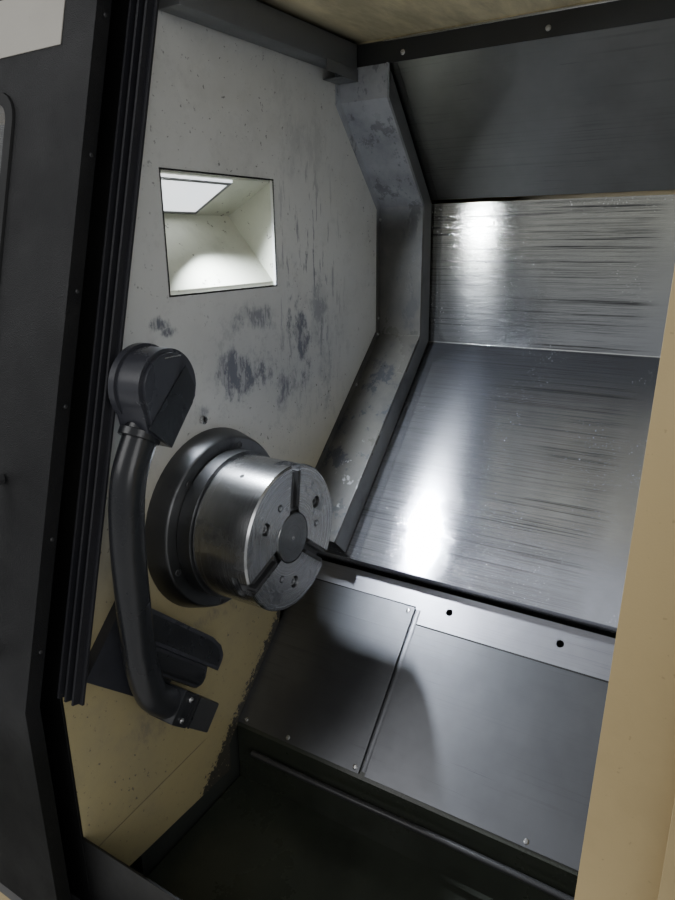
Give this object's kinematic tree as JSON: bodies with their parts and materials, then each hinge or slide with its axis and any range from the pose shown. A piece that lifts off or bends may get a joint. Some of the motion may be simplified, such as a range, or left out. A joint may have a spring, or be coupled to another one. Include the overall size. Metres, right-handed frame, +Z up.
{
  "type": "cnc turning lathe",
  "caption": "Slant-bed turning lathe with a power chuck, tool turret, tool setting arm, tailstock, way covers, sliding door and full sheet guard.",
  "frame": {"origin": "on the floor under the middle of the machine", "axes": "+X along the spindle from headstock to tailstock, +Y to the rear, +Z up; the operator stands at -Y"},
  "size_m": [2.86, 1.478, 1.95],
  "materials": {
    "bed_casting": "painted casting",
    "z_rail_lower": "ground",
    "z_rail_upper": "ground",
    "tailstock_way": "painted casting",
    "coolant_tank": "beige enamel",
    "headstock_casting": "painted casting",
    "front_bearing": "ground",
    "nose_cover": "blackened steel",
    "spindle_motor": "black textured paint",
    "drive_belt": "matt",
    "spindle_side_wall": "cream enamel, stained",
    "tail_side_wall": "cream enamel, stained",
    "frame_strip": "beige enamel",
    "lamp_recess": "cream enamel, stained",
    "lamp_glass": "frosted, lit",
    "upper_back_panel": "brushed, rubbed along X",
    "ceiling_panel": "beige enamel",
    "lip_plate": "brushed, rubbed along X",
    "lower_left_panel": "brushed, rubbed along X",
    "lower_right_panel": "brushed, rubbed along X",
    "chip_trough": "blackened steel",
    "left_side_cover": "beige enamel",
    "right_side_cover": "beige enamel",
    "rear_cover": "beige enamel",
    "roof_cover": "beige enamel",
    "front_left_cover": "beige enamel",
    "front_right_cover": "beige enamel",
    "front_apron": "beige enamel",
    "jamb_channel": "black textured paint",
    "door_rail_upper": "blackened steel",
    "door_rail_lower": "blackened steel",
    "arm_hub": "blackened steel",
    "park_bracket": "black textured paint",
    "control_panel": "beige enamel",
    "door_panel": "black textured paint",
    "door_window": "clear",
    "window_seal": "matt",
    "door_handle": "blackened steel",
    "spindle_shaft": "ground",
    "spindle_pulley": "painted casting",
    "chuck_back_plate": "blackened steel",
    "chuck_body": "brushed, rubbed along X",
    "chuck_centre_plate": "blackened steel",
    "draw_tube": "blackened steel",
    "master_jaw_1": "blackened steel",
    "master_jaw_2": "blackened steel",
    "master_jaw_3": "blackened steel",
    "motor_pulley": "painted casting",
    "arm_housing": "black textured paint",
    "arm_tube": "black textured paint",
    "arm_head": "blackened steel",
    "saddle": "painted casting",
    "left_way_cover": "brushed, rubbed along X",
    "right_way_cover": "brushed, rubbed along X",
    "turret_slide": "painted casting",
    "turret_disc": "ground",
    "tailstock_body": "painted casting",
    "quill": "ground",
    "emergency_stop": "gloss"
  },
  "bodies": {
    "machine": {"bed_casting": "bed_casting", "z_rail_lower": "z_rail_lower", "z_rail_upper": "z_rail_upper", "tailstock_way": "tailstock_way", "coolant_tank": "coolant_tank", "headstock_casting": "headstock_casting", "front_bearing": "front_bearing", "nose_cover": "nose_cover", "spindle_motor": "spindle_motor", "drive_belt": "drive_belt", "spindle_side_wall": "spindle_side_wall", "tail_side_wall": "tail_side_wall", "frame_strip": "frame_strip", "lamp_recess": "lamp_recess", "lamp_glass": "lamp_glass", "upper_back_panel": "upper_back_panel", "ceiling_panel": "ceiling_panel", "lip_plate": "lip_plate", "lower_left_panel": "lower_left_panel", "lower_right_panel": "lower_right_panel", "chip_trough": "chip_trough", "left_side_cover": "left_side_cover", "right_side_cover": "right_side_cover", "rear_cover": "rear_cover", "roof_cover": "roof_cover", "front_left_cover": "front_left_cover", "front_right_cover": "front_right_cover", "front_apron": "front_apron", "jamb_channel": "jamb_channel", "door_rail_upper": "door_rail_upper", "door_rail_lower": "door_rail_lower", "arm_hub": "arm_hub", "park_bracket": "park_bracket", "control_panel": "control_panel"},
    "door": {"door_panel": "door_panel", "door_window": "door_window", "window_seal": "window_seal", "door_handle": "door_handle"},
    "spindle": {"spindle_shaft": "spindle_shaft", "spindle_pulley": "spindle_pulley", "chuck_back_plate": "chuck_back_plate", "chuck_body": "chuck_body", "chuck_centre_plate": "chuck_centre_plate"},
    "jaw_1": {"master_jaw_1": "master_jaw_1"},
    "jaw_2": {"master_jaw_2": "master_jaw_2"},
    "jaw_3": {"master_jaw_3": "master_jaw_3"},
    "draw_tube": {"draw_tube": "draw_tube"},
    "motor_pulley": {"motor_pulley": "motor_pulley"},
    "setting_arm": {"arm_housing": "arm_housing", "arm_tube": "arm_tube", "arm_head": "arm_head"},
    "carriage": {"saddle": "saddle", "left_way_cover": "left_way_cover", "right_way_cover": "right_way_cover"},
    "cross_slide": {"turret_slide": "turret_slide"},
    "turret": {"turret_disc": "turret_disc"},
    "tailstock": {"tailstock_body": "tailstock_body"},
    "quill": {"quill": "quill"},
    "emergency_stop": {"emergency_stop": "emergency_stop"}
  },
  "joints": [
    {"name": "door_slide", "type": "slide", "parent": "machine", "child": "door", "axis": [1, 0, 0], "range_m": [0, 0.77]},
    {"name": "spindle_spin", "type": "hinge", "parent": "machine", "child": "spindle", "pos_m": [-0.33, -0.261, 1.05], "axis": [1, 0, 0], "continuous": true},
    {"name": "jaw_1_travel", "type": "slide", "parent": "spindle", "child": "jaw_1", "axis": [0, 0.1392, 0.9903], "range_m": [-0.005, 0.005]},
    {"name": "jaw_2_travel", "type": "slide", "parent": "spindle", "child": "jaw_2", "axis": [0, -0.9272, -0.3746], "range_m": [-0.005, 0.005]},
    {"name": "jaw_3_travel", "type": "slide", "parent": "spindle", "child": "jaw_3", "axis": [0, 0.788, -0.6157], "range_m": [-0.005, 0.005]},
    {"name": "draw_tube_travel", "type": "slide", "parent": "spindle", "child": "draw_tube", "axis": [1, 0, 0], "range_m": [-0.011, 0.011]},
    {"name": "motor_spin", "type": "hinge", "parent": "machine", "child": "motor_pulley", "pos_m": [-0.33, -0.261, 0.55], "axis": [1, 0, 0], "continuous": true},
    {"name": "arm_swing", "type": "hinge", "parent": "machine", "child": "setting_arm", "pos_m": [-0.28, -0.449, 1.337], "axis": [1, 0, 0], "range_deg": [0, 18]},
    {"name": "carriage_travel", "type": "slide", "parent": "machine", "child": "carriage", "axis": [1, 0, 0], "range_m": [-0.42, 0]},
    {"name": "turret_feed", "type": "slide", "parent": "carriage", "child": "cross_slide", "axis": [0, 0.7071, 0.7071], "range_m": [-0.13, 0]},
    {"name": "turret_index", "type": "hinge", "parent": "cross_slide", "child": "turret", "pos_m": [0.51, 0.03598, 1.34698], "axis": [1, 0, 0], "continuous": true},
    {"name": "tailstock_travel", "type": "slide", "parent": "machine", "child": "tailstock", "axis": [1, 0, 0], "range_m": [-0.11, 0]},
    {"name": "quill_travel", "type": "slide", "parent": "tailstock", "child": "quill", "axis": [1, 0, 0], "range_m": [-0.08, 0]},
    {"name": "emergency_stop_press", "type": "slide", "parent": "machine", "child": "emergency_stop", "axis": [0, 1, 0], "range_m": [0, 0.0035]}
  ],
  "couplings": [
    {"joint": "jaw_2_travel", "follows": "jaw_1_travel", "ratio": 1},
    {"joint": "jaw_3_travel", "follows": "jaw_1_travel", "ratio": 1},
    {"joint": "draw_tube_travel", "follows": "jaw_1_travel", "ratio": 2.2},
    {"joint": "motor_spin", "follows": "spindle_spin", "ratio": 1.5714}
  ]
}
